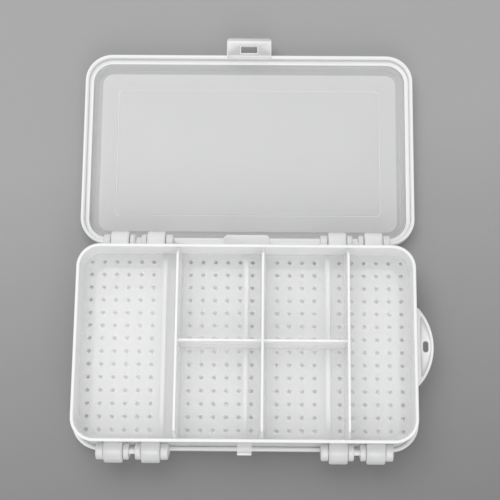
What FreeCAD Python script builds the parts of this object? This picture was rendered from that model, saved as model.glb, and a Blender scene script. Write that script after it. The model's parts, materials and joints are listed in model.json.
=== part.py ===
import FreeCAD, Part
import math
import os
import Sketcher

# A double-sided compartment box: one tray with a perforated floor at mid-height, dividers above
# and below it, and two equal lids, the lower one being the upper one turned over about the X axis.
# Every sketch is drawn in the closed box's own frame, whose origin is the middle of the floor;
# each piece's placement then lifts it above the table and turns it to where it rests.

Vector = FreeCAD.Vector

DIMENSIONS = [
    # Tray: floor, leaning walls and rims
    ("floor_thickness", 1.5, "Perforated floor, half above and half below the middle plane"),
    ("rim_height", 12.4, "Rim above the floor's surface, on both sides"),
    ("tray_length", 166.2, "Outside length at the rims"),
    ("tray_width", 96.6, "Outside width at the rims"),
    ("tray_corner_radius", 11.5, "Outside corner at the rims"),
    ("wall_thickness", 1.6, "Tray wall"),
    ("wall_lean", 0.75, "How far the wall is drawn in from the rims to the floor"),
    # Drain holes
    ("hole_width", 1.6, "Square drain hole"),
    ("hole_pitch_x", 6.15, "Drain hole spacing along the box"),
    ("hole_pitch_y", 6.4, "Drain hole spacing across the box"),
    # Dividers
    ("divider_rise", 4.0, "Divider top above the rim"),
    ("divider_top_thickness", 1.2, "Divider at its top"),
    ("divider_foot_thickness", 2.34, "Divider at the floor"),
    ("divider_end_inset", 1.0, "Divider end drawn in above the rim"),
    ("divider_corner_radius", 3.6, "Divider top corner"),
    ("left_divider_x", -33.2, "Upper left divider"),
    ("middle_divider_x", 8.4, "Upper middle divider"),
    ("right_divider_x", 49.9, "Upper right divider"),
    ("cross_divider_y", 0.0, "Upper cross divider"),
    ("lower_divider_pitch", 40.5, "Lower divider spacing"),
    # Lids
    ("panel_thickness", 1.5, "Lid panel"),
    ("head_clearance", 0.3, "Lid panel above the divider tops"),
    ("lip_thickness", 1.85, "Lid lip outside the tray's rim"),
    ("lip_clearance", 0.45, "Lid lip to the tray's rim"),
    ("lip_overlap", 3.6, "Lid lip past the tray's rim"),
    ("lip_lead_in", 0.8, "Slope inside the lip's edge"),
    ("seat_clearance", 0.1, "Lid seat to the tray's rim"),
    ("lid_edge_radius", 4.5, "Lid's rounded outer edge"),
    ("frame_line_inset", 14.2, "Fine sunk frame line inside the lid panel, in from the tray's rim"),
    ("frame_line_width", 0.7, "Frame line's own width"),
    ("frame_line_depth", 0.3, "Frame line's depth"),
    # Hinges
    ("hinge_end_distance", 28.9, "Hinge's middle from the tray's end"),
    ("hinge_length", 34.8, "One hinge, over its outer knuckles"),
    ("hinge_offset", 1.3, "Hinge axis outside the lid's face"),
    ("lug_length", 9.05, "Tray lug along the axis"),
    ("lug_offset", 9.025, "Tray lug's middle from the hinge's middle"),
    ("lug_radius", 5.5, "Tray lug's rounded end"),
    ("knuckle_gap", 0.3, "Lid knuckle to tray lug along the axis"),
    ("knuckle_clearance", 0.35, "Lid knuckle to the tray's wall"),
    ("pin_window", 3.1, "Bare length of the pin between the inner knuckles"),
    ("arm_proud", 0.9, "Lid arm outside the lid's face"),
    ("arm_rise", 3.5, "Lid arm above the lip's edge"),
    ("arm_flank_angle", 20.0, "Where the arm's outer side leaves the knuckle, in degrees"),
    ("pin_diameter", 2.6, "Hinge pin"),
    ("pin_clearance", 0.05, "Hinge pin in the lid's knuckles, radial"),
    ("pin_seat", 0.02, "Hinge pin in the tray's lugs, radial"),
    ("lid_open_angle", 178.0, "Lid from closed to open, in degrees"),
    # Latches
    ("latch_width", 23.2, "Latch flap along the box"),
    ("latch_thickness", 1.5, "Latch flap"),
    ("latch_drop", 1.3, "Latch axis past the lip's edge"),
    ("latch_seat", 0.1, "Latch root to its seat on the lip"),
    ("latch_straight", 7.4, "Latch flap's flat stretch, from its axis"),
    ("latch_reach", 11.8, "Latch flap's whole length, from its axis"),
    ("finger_flare", 4.6, "Finger lip's reach outwards"),
    ("finger_height", 1.5, "Finger lip's edge"),
    ("finger_bend_radius", 1.2, "Bend between the flap and its finger lip"),
    ("finger_corner_radius", 2.2, "Finger lip's corners"),
    ("latch_open_angle", 90.0, "Latch from latched to open, in degrees"),
    # Catches
    ("catch_width", 6.9, "Catch tongue along the box"),
    ("catch_thickness", 1.2, "Catch tongue"),
    ("catch_start", 1.9, "Catch tongue from the latch's axis"),
    ("catch_reach", 4.0, "Catch tongue outside the latch's axis"),
    ("catch_chamfer", 0.9, "Slope at the tongue's end"),
    ("catch_corner_radius", 1.6, "Tongue's corners"),
    ("window_clearance", 0.5, "Latch window to the tongue as the flap swings"),
    ("window_side_clearance", 0.85, "Latch window beside the tongue"),
    # Hanging tab on the right end
    ("tab_length", 41.6, "Tab along the wall"),
    ("tab_shoulder_length", 38.0, "Tab across its shoulders"),
    ("tab_shoulder_reach", 2.85, "Tab's shoulders out from the wall"),
    ("tab_reach", 9.95, "Tab's tip out from the wall"),
    ("tab_thickness", 2.6, "Tab at its border"),
    ("tab_border", 1.1, "Raised border"),
    ("tab_recess", 0.5, "Tab's faces sunk between root and border"),
    ("tab_root", 3.45, "Thick root out from the wall"),
    ("slot_length", 5.5, "Hanging slot along the tab"),
    ("slot_width", 2.6, "Hanging slot across the tab"),
    ("slot_reach", 6.1, "Hanging slot's middle out from the wall"),
]

# First column of each run of drain holes, as a share of the spacing, and the run's columns:
# the columns under a divider's foot are missing.
HOLE_RUN_SHARES = [(-12.5, 6), (-4.5, 6), (2.5, 4), (7.5, 6)]
HOLE_ROWS = 14

# The lid's rounded edge in three flats: how far each break is drawn in and risen, as shares of the radius
EDGE_SHARES = [(0.0, 0.0), (0.134, 0.5), (0.5, 0.866), (1.0, 1.0)]

# A knuckle's round in flats: the breaks, in degrees about the pin, on the side away from its arm
KNUCKLE_BREAKS = [180, 210, 240, 270, 300, 330, 360]

# Levels in the closed box's frame, from the middle of the floor
FLOOR_FACE = "(Dims.floor_thickness / 2)"
RIM = f"({FLOOR_FACE} + Dims.rim_height)"
DIVIDER_TOP = f"({RIM} + Dims.divider_rise)"
PANEL_FACE = f"({DIVIDER_TOP} + Dims.head_clearance)"
LID_TOP = f"({PANEL_FACE} + Dims.panel_thickness)"
LID_SEAT = f"({RIM} + Dims.seat_clearance)"
LIP_EDGE = f"({RIM} - Dims.lip_overlap)"

# Half lengths, half widths and corner radii of the box's outlines
RIM_X = "(Dims.tray_length / 2)"
RIM_Y = "(Dims.tray_width / 2)"
WAIST_X = f"({RIM_X} - Dims.wall_lean)"
WAIST_Y = f"({RIM_Y} - Dims.wall_lean)"
LIP_OUT = "(Dims.lip_clearance + Dims.lip_thickness)"
LID_X = f"({RIM_X} + {LIP_OUT})"
LID_Y = f"({RIM_Y} + {LIP_OUT})"
CORNER = "Dims.tray_corner_radius"

RIM_OUTLINE = (RIM_X, RIM_Y, CORNER)
WAIST_OUTLINE = (WAIST_X, WAIST_Y, f"({CORNER} - Dims.wall_lean)")

# Hinge and latch axes, and the middles of the hinges
HINGE_X = f"({RIM_X} - Dims.hinge_end_distance)"
HINGE_Y = f"({LID_Y} + Dims.hinge_offset)"
KNUCKLE = f"({HINGE_Y} - {WAIST_Y} - Dims.knuckle_clearance)"
LATCH_Y = f"({LID_Y} - Dims.latch_thickness / 2)"
LATCH_Z = f"({LIP_EDGE} - Dims.latch_drop)"
CATCH_END = "(Dims.catch_start + Dims.catch_thickness)"

doc = FreeCAD.newDocument("CompartmentBox")
sheet = doc.addObject("Spreadsheet::Sheet", "Dims")
for row, (alias, number, note) in enumerate(DIMENSIONS, start=1):
    sheet.set(f"A{row}", note)
    sheet.set(f"B{row}", str(number))
    sheet.setAlias(f"B{row}", alias)
doc.recompute()


def value(expression):
    """The number that an expression on the sheet gives."""
    result = sheet.evalExpression(expression)
    return float(getattr(result, "Value", result))


def inset(outline, amount):
    """The outline drawn in by an amount, as half length, half width and corner radius."""
    return tuple(f"({size} - {amount})" for size in outline)


def new_body(label):
    """An empty body with its own label."""
    body = doc.addObject("PartDesign::Body", label)
    body.Label = label
    return body


def new_sketch(body, name, role, level=None):
    """A sketch on one of the body's origin planes, lifted along the plane's normal by a level."""
    sketch = body.newObject("Sketcher::SketchObject", name)
    plane = [item for item in body.Origin.OriginFeatures if item.Role == role][0]
    sketch.AttachmentSupport = [(plane, "")]
    sketch.MapMode = "FlatFace"
    if level is not None:
        sketch.setExpression("AttachmentOffset.Base.z", level)
    return sketch


def bind(sketch, constraint, expression):
    """Adds a constraint whose value the sheet drives."""
    index = sketch.addConstraint(constraint)
    sketch.setExpression(f"Constraints[{index}]", expression)


def loop(sketch, nodes):
    """
    Draws a closed counter-clockwise loop. Each node is (x, y) or (x, y, radius): the run from it
    to the next node is straight, or an arc of that radius that bulges outwards.
    """
    points = [Vector(value(node[0]), value(node[1]), 0) for node in nodes]
    first = sketch.GeometryCount
    for place, node in enumerate(nodes):
        start = points[place]
        end = points[(place + 1) % len(points)]
        if len(node) == 2:
            sketch.addGeometry(Part.LineSegment(start, end))
            continue
        radius = value(node[2])
        chord = end - start
        rise = math.sqrt(max(radius ** 2 - (chord.Length / 2) ** 2, 0))
        left = Vector(-chord.y, chord.x, 0).normalize()
        centre = (start + end) / 2 + left * rise
        circle = Part.Circle(centre, Vector(0, 0, 1), radius)
        turn_from = math.atan2(start.y - centre.y, start.x - centre.x)
        turn_to = math.atan2(end.y - centre.y, end.x - centre.x)
        sketch.addGeometry(Part.ArcOfCircle(circle, turn_from, turn_to))
    for place, node in enumerate(nodes):
        edge = first + place
        following = first + (place + 1) % len(nodes)
        sketch.addConstraint(Sketcher.Constraint("Coincident", edge, 2, following, 1))
        bind(sketch, Sketcher.Constraint("DistanceX", -1, 1, edge, 1, points[place].x), node[0])
        bind(sketch, Sketcher.Constraint("DistanceY", -1, 1, edge, 1, points[place].y), node[1])
        if len(node) == 3:
            bind(sketch, Sketcher.Constraint("Radius", edge, value(node[2])), node[2])


def rounded_rectangle(sketch, outline):
    """Draws a rectangle about the origin from its half length, half width and corner radius."""
    along, across, radius = outline
    flat_x = f"({along} - {radius})"
    flat_y = f"({across} - {radius})"
    loop(sketch, [
        (f"-{flat_x}", f"-{across}"),
        (flat_x, f"-{across}", radius),
        (along, f"-{flat_y}"),
        (along, flat_y, radius),
        (flat_x, across),
        (f"-{flat_x}", across, radius),
        (f"-{along}", flat_y),
        (f"-{along}", f"-{flat_y}", radius),
    ])


def circle(sketch, x, y, radius):
    """Draws a full circle."""
    centre = Vector(value(x), value(y), 0)
    edge = sketch.addGeometry(Part.Circle(centre, Vector(0, 0, 1), value(radius)))
    bind(sketch, Sketcher.Constraint("DistanceX", -1, 1, edge, 3, centre.x), x)
    bind(sketch, Sketcher.Constraint("DistanceY", -1, 1, edge, 3, centre.y), y)
    bind(sketch, Sketcher.Constraint("Radius", edge, value(radius)), radius)


def pad(body, sketch, length, symmetric=False):
    """Pads a sketch along its normal, or to both sides alike."""
    feature = body.newObject("PartDesign::Pad", f"{sketch.Name}Pad")
    feature.Profile = sketch
    feature.SideType = "Symmetric" if symmetric else "One side"
    feature.setExpression("Length", length)
    doc.recompute()
    return feature


def pocket(body, sketch, depth, symmetric=False, upwards=False):
    """Cuts a sketch into the body, against its normal, along it, or to both sides alike."""
    before = body.Shape.Volume
    feature = body.newObject("PartDesign::Pocket", f"{sketch.Name}Pocket")
    feature.Profile = sketch
    feature.SideType = "Symmetric" if symmetric else "One side"
    feature.Reversed = upwards
    feature.setExpression("Length", depth)
    doc.recompute()
    if not body.Shape.Volume < before:
        raise RuntimeError(f"{feature.Name} cuts nothing")
    return feature


def loft(body, kind, sketches):
    """Joins or cuts a ruled loft through sketches in order."""
    feature = body.newObject(f"PartDesign::{kind}Loft", f"{sketches[0].Name}Loft")
    feature.Profile = sketches[0]
    feature.Sections = sketches[1:]
    feature.Ruled = True
    doc.recompute()
    return feature


def dress(body, kind, name, test, size):
    """Fillets or chamfers the edges of the body's tip that pass a test, by a size on the sheet."""
    base = body.Tip
    edges = [f"Edge{count}" for count, edge in enumerate(base.Shape.Edges, start=1) if test(edge)]
    if not edges:
        raise RuntimeError(f"{name} finds no edge")
    feature = body.newObject(f"PartDesign::{kind}", name)
    feature.Base = (base, edges)
    feature.setExpression("Radius" if kind == "Fillet" else "Size", size)
    doc.recompute()
    return feature


def near(number, expression):
    """True where a number is what the sheet gives, to within the modelling tolerance."""
    return math.isclose(number, value(expression), abs_tol=Part.Precision.confusion() * 100)


def lies_at(edge, axis, level):
    """True where an edge lies wholly at one level along an axis."""
    box = edge.BoundBox
    return near(getattr(box, f"{axis}Min"), level) and near(getattr(box, f"{axis}Max"), level)


def place_on_table(piece, turned_over=False, x=None, y=None):
    """Lifts a piece of the closed box above the table, upright or turned over about the X axis."""
    turn = FreeCAD.Rotation(Vector(1, 0, 0), 180 if turned_over else 0)
    piece.Placement = FreeCAD.Placement(Vector(0, 0, 0), turn)
    piece.setExpression("Placement.Base.z", LID_TOP)
    if x is not None:
        piece.setExpression("Placement.Base.x", x)
    if y is not None:
        piece.setExpression("Placement.Base.y", y)
    doc.recompute()


def turn_about(y, z, degrees):
    """The placement that turns the closed box's frame about a line along X."""
    line = FreeCAD.Placement(Vector(0, y, z), FreeCAD.Rotation())
    return line * FreeCAD.Placement(Vector(), FreeCAD.Rotation(Vector(1, 0, 0), degrees)) * line.inverse()


def make_tray_walls():
    """Leaning walls with two rims, the hinge lugs, the two catch tongues and the hanging tab."""
    body = new_body("tray_walls")
    sections = []
    for name, outline, level in (
        ("LowerRim", RIM_OUTLINE, f"-{RIM}"),
        ("Waist", WAIST_OUTLINE, None),
        ("UpperRim", RIM_OUTLINE, RIM),
    ):
        sketch = new_sketch(body, name, "XY_Plane", level)
        rounded_rectangle(sketch, outline)
        sections.append(sketch)
    loft(body, "Additive", sections)

    sections = []
    for name, outline, level in (
        ("LowerMouth", RIM_OUTLINE, f"-{RIM}"),
        ("LowerFoot", WAIST_OUTLINE, f"-{FLOOR_FACE}"),
        ("UpperFoot", WAIST_OUTLINE, FLOOR_FACE),
        ("UpperMouth", RIM_OUTLINE, RIM),
    ):
        sketch = new_sketch(body, name, "XY_Plane", level)
        rounded_rectangle(sketch, inset(outline, "Dims.wall_thickness"))
        sections.append(sketch)
    loft(body, "Subtractive", sections)

    # The lugs, tongue and tab grow out of the middle of the wall.
    wall_core_x = f"({WAIST_X} - Dims.wall_thickness / 2)"
    wall_core_y = f"({WAIST_Y} - Dims.wall_thickness / 2)"
    repeated = []
    for hinge_side in ("-", "+"):
        for lug_side in ("-", "+"):
            start = (
                f"{hinge_side}{HINGE_X} {lug_side} Dims.lug_offset"
                " - Dims.lug_length / 2"
            )
            sketch = new_sketch(body, f"Lug{len(repeated)}", "YZ_Plane", start)
            loop(sketch, [
                (wall_core_y, "-Dims.lug_radius"),
                (HINGE_Y, "-Dims.lug_radius", "Dims.lug_radius"),
                (f"{HINGE_Y} + Dims.lug_radius", "0", "Dims.lug_radius"),
                (HINGE_Y, "Dims.lug_radius"),
                (wall_core_y, "Dims.lug_radius"),
            ])
            circle(sketch, HINGE_Y, "0", "Dims.pin_diameter / 2 + Dims.pin_seat")
            repeated.append(pad(body, sketch, "Dims.lug_length"))

    sketch = new_sketch(body, "Catch", "YZ_Plane")
    tongue_tip = f"({LATCH_Y} + Dims.catch_reach)"
    tongue_low = f"(Dims.catch_start - {LATCH_Z})"
    tongue_high = f"({CATCH_END} - {LATCH_Z})"
    loop(sketch, [
        (wall_core_y, tongue_low),
        (tongue_tip, tongue_low),
        (tongue_tip, f"{tongue_high} - Dims.catch_chamfer"),
        (f"{tongue_tip} - Dims.catch_chamfer", tongue_high),
        (wall_core_y, tongue_high),
    ])
    repeated.append(pad(body, sketch, "Dims.catch_width", symmetric=True))

    tab_tip = f"({WAIST_X} + Dims.tab_reach)"
    tab_shoulder = f"({WAIST_X} + Dims.tab_shoulder_reach)"
    sagitta = "(Dims.tab_reach - Dims.tab_shoulder_reach)"
    half_chord = "(Dims.tab_shoulder_length / 2)"
    tab_radius = f"(({half_chord} ^ 2 + {sagitta} ^ 2) / (2 * {sagitta}))"
    sketch = new_sketch(body, "Tab", "XY_Plane")
    loop(sketch, [
        (wall_core_x, "-Dims.tab_length / 2"),
        (tab_shoulder, f"-{half_chord}", tab_radius),
        (tab_shoulder, half_chord),
        (wall_core_x, "Dims.tab_length / 2"),
    ])
    pad(body, sketch, "Dims.tab_thickness", symmetric=True)

    sketch = new_sketch(body, "TabFace", "XY_Plane", "Dims.tab_thickness / 2")
    face_root = f"({WAIST_X} + Dims.tab_root)"
    face_radius = f"({tab_radius} - Dims.tab_border)"
    face_half = f"sqrt({face_radius} ^ 2 - ({face_root} - {tab_tip} + {tab_radius}) ^ 2)"
    loop(sketch, [
        (face_root, f"-{face_half}", face_radius),
        (face_root, face_half),
    ])
    repeated.append(pocket(body, sketch, "Dims.tab_recess"))

    # Half a turn about the X axis gives the front lugs and tongue and the tab's other face.
    turned = body.newObject("PartDesign::PolarPattern", "TurnedOver")
    turned.Originals = repeated
    axis = [item for item in body.Origin.OriginFeatures if item.Role == "X_Axis"][0]
    turned.Axis = (axis, [""])
    turned.Occurrences = 2
    body.Tip = turned
    doc.recompute()

    sketch = new_sketch(body, "HangingSlot", "XY_Plane")
    slot_x = f"({WAIST_X} + Dims.slot_reach)"
    slot_end = "(Dims.slot_width / 2)"
    slot_flat = f"(Dims.slot_length / 2 - {slot_end})"
    loop(sketch, [
        (f"{slot_x} - {slot_end}", f"-{slot_flat}", slot_end),
        (slot_x, "-Dims.slot_length / 2", slot_end),
        (f"{slot_x} + {slot_end}", f"-{slot_flat}"),
        (f"{slot_x} + {slot_end}", slot_flat, slot_end),
        (slot_x, "Dims.slot_length / 2", slot_end),
        (f"{slot_x} - {slot_end}", slot_flat),
    ])
    pocket(body, sketch, "Dims.tab_thickness", symmetric=True)

    def tongue_corner(edge):
        box = edge.BoundBox
        upright = max(box.XLength, box.YLength) < Part.Precision.confusion()
        return upright and near(max(abs(box.YMin), abs(box.YMax)), tongue_tip)

    dress(body, "Fillet", "TongueCorners", tongue_corner, "Dims.catch_corner_radius")
    place_on_table(body)


def make_tray_floor():
    """The floor plate with its grid of drain holes."""
    body = new_body("tray_floor")
    sketch = new_sketch(body, "FloorPlate", "XY_Plane")
    rounded_rectangle(sketch, inset(WAIST_OUTLINE, "Dims.wall_thickness"))
    pad(body, sketch, "Dims.floor_thickness", symmetric=True)
    along = [item for item in body.Origin.OriginFeatures if item.Role == "X_Axis"][0]
    across = [item for item in body.Origin.OriginFeatures if item.Role == "Y_Axis"][0]
    for run, (first_share, columns) in enumerate(HOLE_RUN_SHARES):
        sketch = new_sketch(body, f"Hole{run}", "XY_Plane")
        column = f"{first_share} * Dims.hole_pitch_x"
        row = f"-{HOLE_ROWS - 1} / 2 * Dims.hole_pitch_y"
        side = "Dims.hole_width / 2"
        loop(sketch, [
            (f"{column} - {side}", f"{row} - {side}"),
            (f"{column} + {side}", f"{row} - {side}"),
            (f"{column} + {side}", f"{row} + {side}"),
            (f"{column} - {side}", f"{row} + {side}"),
        ])
        hole = pocket(body, sketch, "Dims.floor_thickness", symmetric=True)
        grid = body.newObject("PartDesign::LinearPattern", f"{sketch.Name}Grid")
        grid.Originals = [hole]
        grid.Direction = (along, [""])
        grid.Mode = "Spacing"
        grid.setExpression("Offset", "Dims.hole_pitch_x")
        grid.Occurrences = columns
        grid.Direction2 = (across, [""])
        grid.Mode2 = "Extent"
        grid.setExpression("Length2", f"{HOLE_ROWS - 1} * Dims.hole_pitch_y")
        grid.Occurrences2 = HOLE_ROWS
        grid.Refine = False
        body.Tip = grid
        doc.recompute()
    place_on_table(body)


def thin_upwards(body, role):
    """Tapers a divider from its foot to its top by cutting a wedge off both faces."""
    sketch = new_sketch(body, f"{body.Name}Taper", role)
    foot = "(Dims.divider_foot_thickness / 2)"
    top = "(Dims.divider_top_thickness / 2)"
    loop(sketch, [(foot, FLOOR_FACE), (foot, DIVIDER_TOP), (top, DIVIDER_TOP)])
    loop(sketch, [(f"-{foot}", FLOOR_FACE), (f"-{top}", DIVIDER_TOP), (f"-{foot}", DIVIDER_TOP)])
    pocket(body, sketch, "Dims.tray_length + Dims.tray_width", symmetric=True)


def make_divider(label, x, turned_over=False):
    """A divider from the front wall to the back wall, with rounded corners above the rim."""
    body = new_body(label)
    sketch = new_sketch(body, f"{label}_side", "YZ_Plane")
    foot = f"({WAIST_Y} - Dims.wall_thickness)"
    mouth = f"({RIM_Y} - Dims.wall_thickness)"
    end = f"({mouth} - Dims.divider_end_inset)"
    radius = "Dims.divider_corner_radius"
    loop(sketch, [
        (f"-{foot}", FLOOR_FACE),
        (foot, FLOOR_FACE),
        (mouth, RIM),
        (end, RIM),
        (end, f"{DIVIDER_TOP} - {radius}", radius),
        (f"{end} - {radius}", DIVIDER_TOP),
        (f"-({end} - {radius})", DIVIDER_TOP, radius),
        (f"-{end}", f"{DIVIDER_TOP} - {radius}"),
        (f"-{end}", RIM),
        (f"-{mouth}", RIM),
    ])
    pad(body, sketch, "Dims.divider_foot_thickness", symmetric=True)
    thin_upwards(body, "XZ_Plane")
    place_on_table(body, turned_over, x=x)


def make_cross_divider(label, left_x, right_x):
    """A divider between two others, its ends on their sloping faces."""
    body = new_body(label)
    sketch = new_sketch(body, f"{label}_side", "XZ_Plane")
    foot = "Dims.divider_foot_thickness / 2"
    top = "Dims.divider_top_thickness / 2"
    loop(sketch, [
        (f"{left_x} + {foot}", FLOOR_FACE),
        (f"{right_x} - {foot}", FLOOR_FACE),
        (f"{right_x} - {top}", DIVIDER_TOP),
        (f"{left_x} + {top}", DIVIDER_TOP),
    ])
    pad(body, sketch, "Dims.divider_foot_thickness", symmetric=True)
    thin_upwards(body, "YZ_Plane")
    place_on_table(body, y="Dims.cross_divider_y")


def make_lid(label):
    """
    A lid in its closed place: a rounded panel, a seat for the rim, a lip outside the rim, two
    hinges of four knuckles on the back and the latch's seat on the front.
    """
    body = new_body(label)
    lid_outline = (LID_X, LID_Y, f"({CORNER} + {LIP_OUT})")
    straight_top = f"({LID_TOP} - Dims.lid_edge_radius)"
    sketch = new_sketch(body, f"{label}_outline", "XY_Plane", LIP_EDGE)
    rounded_rectangle(sketch, lid_outline)
    pad(body, sketch, f"{straight_top} - {LIP_EDGE}")
    sections = []
    for inset_share, rise_share in EDGE_SHARES:
        level = f"{straight_top} + {rise_share} * Dims.lid_edge_radius"
        sketch = new_sketch(body, f"{label}_edge{len(sections)}", "XY_Plane", level)
        rounded_rectangle(sketch, inset(lid_outline, f"{inset_share} * Dims.lid_edge_radius"))
        sections.append(sketch)
    loft(body, "Additive", sections)
    sketch = new_sketch(body, f"{label}_lip", "XY_Plane", LIP_EDGE)
    rounded_rectangle(sketch, inset(lid_outline, "Dims.lip_thickness"))
    pocket(body, sketch, f"{LID_SEAT} - {LIP_EDGE}", upwards=True)
    sketch = new_sketch(body, f"{label}_hollow", "XY_Plane", LID_SEAT)
    rounded_rectangle(sketch, inset(RIM_OUTLINE, "Dims.wall_thickness"))
    pocket(body, sketch, f"{PANEL_FACE} - {LID_SEAT}", upwards=True)

    def lip_edge(edge):
        box = edge.BoundBox
        reach = max(abs(box.XMin), abs(box.XMax)) / value(LID_X)
        width = max(abs(box.YMin), abs(box.YMax)) / value(LID_Y)
        inside = max(reach, width) < 1 - Part.Precision.confusion()
        return lies_at(edge, "Z", LIP_EDGE) and inside

    dress(body, "Chamfer", f"{label}_lead_in", lip_edge, "Dims.lip_lead_in")

    sketch = new_sketch(body, f"{label}_frame_line", "XY_Plane", PANEL_FACE)
    for drawn_in in ("Dims.frame_line_inset", "(Dims.frame_line_inset + Dims.frame_line_width)"):
        along = f"({RIM_X} - {drawn_in})"
        across = f"({RIM_Y} - {drawn_in})"
        loop(sketch, [
            (f"-{along}", f"-{across}"),
            (along, f"-{across}"),
            (along, across),
            (f"-{along}", across),
        ])
    pocket(body, sketch, "Dims.frame_line_depth", upwards=True)

    # The seat of the latch's film hinge
    seat_level = f"{LATCH_Z} + Dims.latch_thickness / 2 + Dims.latch_seat"
    sketch = new_sketch(body, f"{label}_seat", "XY_Plane", seat_level)
    seat_x = "Dims.latch_width / 2"
    seat_inside = f"({LID_Y} - Dims.latch_thickness)"
    loop(sketch, [
        (f"-{seat_x}", f"-{LID_Y}"),
        (seat_x, f"-{LID_Y}"),
        (seat_x, f"-{seat_inside}"),
        (f"-{seat_x}", f"-{seat_inside}"),
    ])
    pad(body, sketch, "Dims.lip_overlap")

    # One knuckle and its arm: round the pin, then up the outside of the lip
    arm_inside = f"({RIM_Y} + Dims.lip_clearance)"
    arm_core = f"({LID_Y} - Dims.lip_thickness / 2)"
    arm_top = f"({LIP_EDGE} + Dims.arm_rise)"
    knuckles = []
    inner = ("Dims.pin_window / 2", "(Dims.lug_offset - Dims.lug_length / 2 - Dims.knuckle_gap)")
    outer = ("(Dims.lug_offset + Dims.lug_length / 2 + Dims.knuckle_gap)", "Dims.hinge_length / 2")
    for start, end in (
        (f"-{outer[1]}", f"-{outer[0]}"),
        (f"-{inner[1]}", f"-{inner[0]}"),
        inner,
        outer,
    ):
        level = f"{HINGE_X} + {start}"
        sketch = new_sketch(body, f"{label}_knuckle{len(knuckles)}", "YZ_Plane", level)
        around = [
            (f"{HINGE_Y} + {KNUCKLE} * cos({turn})", f"{KNUCKLE} * sin({turn})")
            for turn in KNUCKLE_BREAKS + ["Dims.arm_flank_angle"]
        ]
        loop(sketch, around + [
            (f"{LID_Y} + Dims.arm_proud", arm_top),
            (arm_core, arm_top),
            (arm_core, LIP_EDGE),
            (arm_inside, LIP_EDGE),
            (arm_inside, f"sqrt({KNUCKLE} ^ 2 - ({HINGE_Y} - {arm_inside}) ^ 2)"),
        ])
        circle(sketch, HINGE_Y, "0", "Dims.pin_diameter / 2 + Dims.pin_clearance")
        knuckles.append(pad(body, sketch, f"{end} - ({start})"))
    mirrored = body.newObject("PartDesign::Mirrored", f"{label}_other_hinge")
    mirrored.Originals = knuckles
    plane = [item for item in body.Origin.OriginFeatures if item.Role == "YZ_Plane"][0]
    mirrored.MirrorPlane = (plane, [""])
    body.Tip = mirrored
    doc.recompute()
    return body


def make_latch(label):
    """A latch flap about its own axis: root, flat stretch with a window, flared finger lip."""
    body = new_body(label)
    sketch = new_sketch(body, f"{label}_profile", "YZ_Plane")
    half = "(Dims.latch_thickness / 2)"
    finger_tip = f"({half} + Dims.finger_flare)"
    finger_low = "(Dims.latch_reach - Dims.finger_height)"
    slope = f"(({finger_low} - Dims.latch_straight) / Dims.finger_flare)"
    bend_inside = f"(Dims.latch_straight + Dims.finger_height - Dims.latch_thickness * {slope})"
    loop(sketch, [
        (f"-{half}", "0", half),
        ("0", f"-{half}", half),
        (half, "0"),
        (half, "Dims.latch_straight"),
        (finger_tip, finger_low),
        (finger_tip, "Dims.latch_reach"),
        (f"-{half}", bend_inside),
    ])
    pad(body, sketch, "Dims.latch_width", symmetric=True)

    sketch = new_sketch(body, f"{label}_window", "XZ_Plane")
    window_x = "(Dims.catch_width / 2 + Dims.window_side_clearance)"
    window_low = "(Dims.catch_start - Dims.window_clearance)"
    tongue_tip = f"sqrt(Dims.catch_reach ^ 2 + ({CATCH_END} - Dims.catch_chamfer) ^ 2)"
    window_high = f"({tongue_tip} + Dims.window_clearance)"
    loop(sketch, [
        (f"-{window_x}", window_low),
        (window_x, window_low),
        (window_x, window_high),
        (f"-{window_x}", window_high),
    ])
    pocket(body, sketch, "Dims.latch_thickness", symmetric=True)

    def bend(edge):
        box = edge.BoundBox
        long_enough = near(box.XLength, "Dims.latch_width")
        outside = near(box.YMin, half) and near(box.ZMin, "Dims.latch_straight")
        inside = near(box.YMin, f"-{half}") and near(box.ZMin, bend_inside)
        return long_enough and (outside or inside)

    def finger_corner(edge):
        box = edge.BoundBox
        upright = max(box.XLength, box.YLength) < Part.Precision.confusion()
        return upright and near(box.YMin, finger_tip)

    dress(body, "Fillet", f"{label}_bend", bend, "Dims.finger_bend_radius")
    dress(body, "Fillet", f"{label}_corners", finger_corner, "Dims.finger_corner_radius")
    return body


def make_pin(label, hinge_side, rear):
    """A hinge pin through one hinge's lugs and knuckles."""
    pin = doc.addObject("Part::Cylinder", label)
    pin.Label = label
    pin.setExpression("Radius", "Dims.pin_diameter / 2")
    pin.setExpression("Height", "Dims.hinge_length")
    pin.Placement = FreeCAD.Placement(Vector(), FreeCAD.Rotation(Vector(0, 1, 0), 90))
    pin.setExpression("Placement.Base.x", f"{hinge_side}{HINGE_X} - Dims.hinge_length / 2")
    pin.setExpression("Placement.Base.y", HINGE_Y if rear else f"-{HINGE_Y}")
    pin.setExpression("Placement.Base.z", LID_TOP)
    doc.recompute()


make_tray_walls()
make_tray_floor()
make_divider("divider_left", "Dims.left_divider_x")
make_divider("divider_middle", "Dims.middle_divider_x")
make_divider("divider_right", "Dims.right_divider_x")
make_cross_divider("cross_divider_left", "Dims.left_divider_x", "Dims.middle_divider_x")
make_cross_divider("cross_divider_right", "Dims.middle_divider_x", "Dims.right_divider_x")
make_divider("lower_divider_left", "-Dims.lower_divider_pitch", turned_over=True)
make_divider("lower_divider_middle", None, turned_over=True)
make_divider("lower_divider_right", "Dims.lower_divider_pitch", turned_over=True)
make_pin("hinge_pin_rear_left", "-", rear=True)
make_pin("hinge_pin_rear_right", "+", rear=True)
make_pin("hinge_pin_front_left", "-", rear=False)
make_pin("hinge_pin_front_right", "+", rear=False)

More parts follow.
